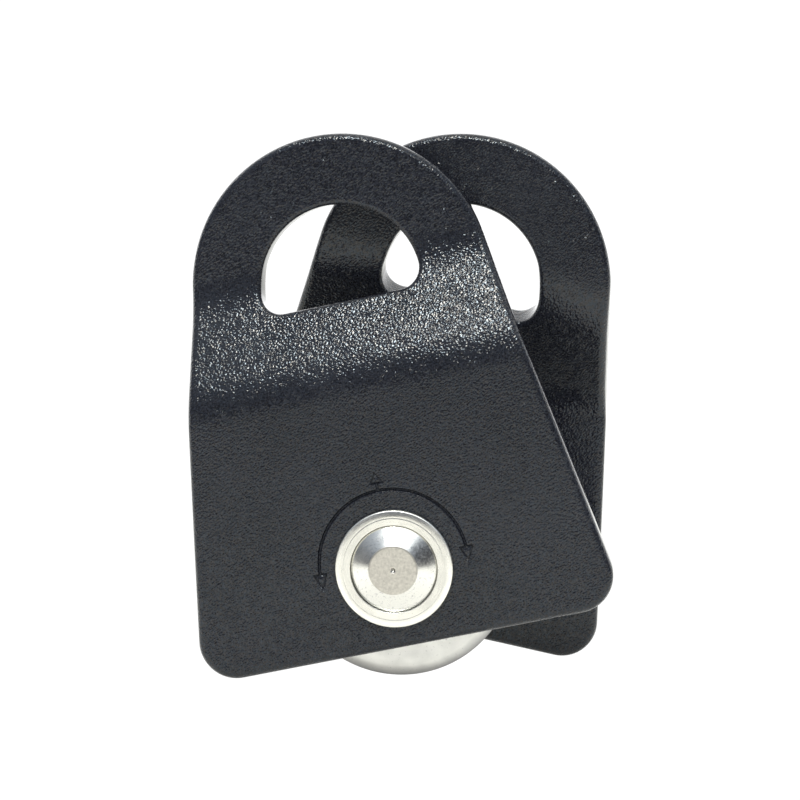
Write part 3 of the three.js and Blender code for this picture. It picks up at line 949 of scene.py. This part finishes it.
for place, side in (("front", FRONT), ("back", BACK)):
    middle = side * (SHEAVE_HALF - BEARING_HALF)
    name = place + "_bearing_"
    inner = lathe(name + "inner_ring_ground", inner_ring(middle))
    add_piece(inner, "axle", "bearing_steel", RING_STEEL, name + "inner_ring")
    outer = lathe(name + "outer_ring_ground", outer_ring(middle))
    add_piece(outer, "sheave", "bearing_steel", RING_STEEL, name + "outer_ring")
    for which, facing in (("outside_seal", side), ("inside_seal", -side)):
        seal = lathe(name + which + "_moulded", seal_profile(middle, facing))
        add_piece(seal, "sheave", "seal_rubber", RUBBER, name + which)
    shut, open_side = middle - side * CAGE_BACK, middle + side * CAGE_FRONT
    cage_corners = [(CAGE_INNER, shut), (CAGE_OUTER, shut), (CAGE_OUTER, open_side), (CAGE_INNER, open_side)]
    cage_profile = rounded([(*c, 0.12) for c in cage_corners], 2)
    cage = pocketed(lathe(name + "cage_moulded", cage_profile, CAGE_SEGMENTS), middle)
    add_piece(cage, place + "_ball_set", "cage_polymer", POLYMER, name + "cage")
    round_ball = [(r, middle + y) for r, y in ball_profile(BALL_RADIUS)]
    for number, spot in enumerate(ball_spots(), 1):
        ball = lathe(f"{name}ball_{number}_ground", round_ball, BALL_SEGMENTS, spot)
        add_piece(ball, place + "_ball_set", "bearing_steel", BALL_STEEL, f"{name}ball_{number}")


# ---------- studio ----------
def floor_paper():
    """Pale paper that glows a little, more in a painted pool of light round the block. The camera looks
    through it, so a plate that swings below it shows.
    """
    material, g, shader = new_material("pale_floor")
    place = g.node("TexCoord").outputs["Object"]
    paper = g.colours(g.noise(place, 3.0), (0.3, (0.6, 0.593, 0.56)), (0.7, (0.62, 0.613, 0.58)))
    g.put(shader, "Base Color", paper)
    shader.inputs["Roughness"].default_value = 0.9
    shader.inputs["Specular IOR Level"].default_value = 0.0
    shader.inputs["Emission Color"].default_value = (1.0, 0.99, 0.94, 1)
    # painted light: the paper's glow is stronger near the block, which lifts the shade beneath it
    around = g.node("VectorMath", {"operation": "DISTANCE"})
    g.put(around, "0", place)
    g.put(around, "1", (0, -0.05, 0))
    g.put(shader, "Emission Strength", g.span(around.outputs["Value"], 0.06, 0.16, 0.6, 0.5))
    sheet = g.node("MixShader", Fac=g.node("LightPath").outputs["Is Camera Ray"])
    g.put(sheet, "1", shader.outputs[0])
    g.put(sheet, "2", g.node("BsdfTransparent").outputs[0])
    output = next(n for n in g.tree.nodes if n.type == "OUTPUT_MATERIAL")
    g.tree.links.new(sheet.outputs[0], output.inputs["Surface"])
    return material


def studio_room(world):
    """Grey in front, bluer higher up, bright behind the block and overhead, and white to the camera."""
    world.use_nodes = True
    world.node_tree.nodes.clear()
    g = Graph(world.node_tree)
    direction = g.node("SeparateXYZ", Vector=g.node("TexCoord").outputs["Generated"])
    behind = g.span(direction.outputs[1], 0.0, 0.35)
    low = g.span(direction.outputs[2], -0.05, 0.4)
    high = g.span(direction.outputs[2], 0.3, 0.75)
    zenith = g.span(direction.outputs[2], 0.85, 0.95)
    room = g.mix(low, (0.17, 0.17, 0.18), (0.26, 0.28, 0.32))
    room = g.mix(high, room, (0.62, 0.7, 0.82))
    room = g.mix(behind, room, (2.1, 2.1, 2.1))
    room = g.mix(zenith, room, (1.5, 1.5, 1.5))
    room = g.mix(g.node("LightPath").outputs["Is Camera Ray"], room, (1.1, 1.1, 1.1))
    background = g.node("Background", Color=room, Strength=1.0)
    g.tree.links.new(background.outputs[0], g.node("OutputWorld").inputs["Surface"])


def soft_light(name, azimuth, elevation, distance, size, power, colour):
    """A rectangular light that faces the axle. Azimuth is from the front towards +X, in degrees."""
    a, e = math.radians(azimuth), math.radians(elevation)
    away = Vector((math.sin(a) * math.cos(e), -math.cos(a) * math.cos(e), math.sin(e)))
    data = bpy.data.lights.new(name, "AREA")
    data.shape = "RECTANGLE"
    data.size, data.size_y = size
    data.energy = power
    data.color = colour
    lamp = bpy.data.objects.new(name, data)
    lamp.location = AXLE + away * distance
    lamp.rotation_euler = away.to_track_quat("Z", "Y").to_euler()
    bpy.context.scene.collection.objects.link(lamp)


floor_mesh = bpy.data.meshes.new("floor")
half_floor = [(FLOOR_HALF, FLOOR_EDGE), (FLOOR_HALF, FLOOR_NECK)]
half_floor += [(FLOOR_REACH, FLOOR_NECK), (FLOOR_REACH, FLOOR_REACH)]
floor_corners = half_floor + [(-x, y) for x, y in reversed(half_floor)]
floor_mesh.from_pydata([(x, y, 0) for x, y in floor_corners], [], [tuple(range(len(floor_corners)))])
floor = bpy.data.objects.new("floor", floor_mesh)
floor.location = (0, 0, cad_bounds[0].z)
bpy.context.scene.collection.objects.link(floor)
floor.data.materials.append(floor_paper())

studio = bpy.data.worlds.new("studio")
bpy.context.scene.world = studio
studio_room(studio)

soft_light("overhead_softbox", -8, 52, 1.1, (0.24, 0.24), 8.2, (1.0, 1.0, 0.99))
soft_light("side_softbox", 22, 45, 1.1, (0.4, 0.4), 1.1, (0.96, 0.99, 1.0))

camera_data = bpy.data.cameras.new("camera")
camera_data.lens = 101.5
camera_data.sensor_width = 36
camera_data.clip_start = 0.01
camera = bpy.data.objects.new("camera", camera_data)
camera.location = CAMERA_PLACE
camera.rotation_euler = (math.radians(90 - CAMERA_TILT), 0, math.radians(CAMERA_TURN))
bpy.context.scene.collection.objects.link(camera)
bpy.context.scene.camera = camera
bpy.context.scene.view_settings.view_transform = "Standard"
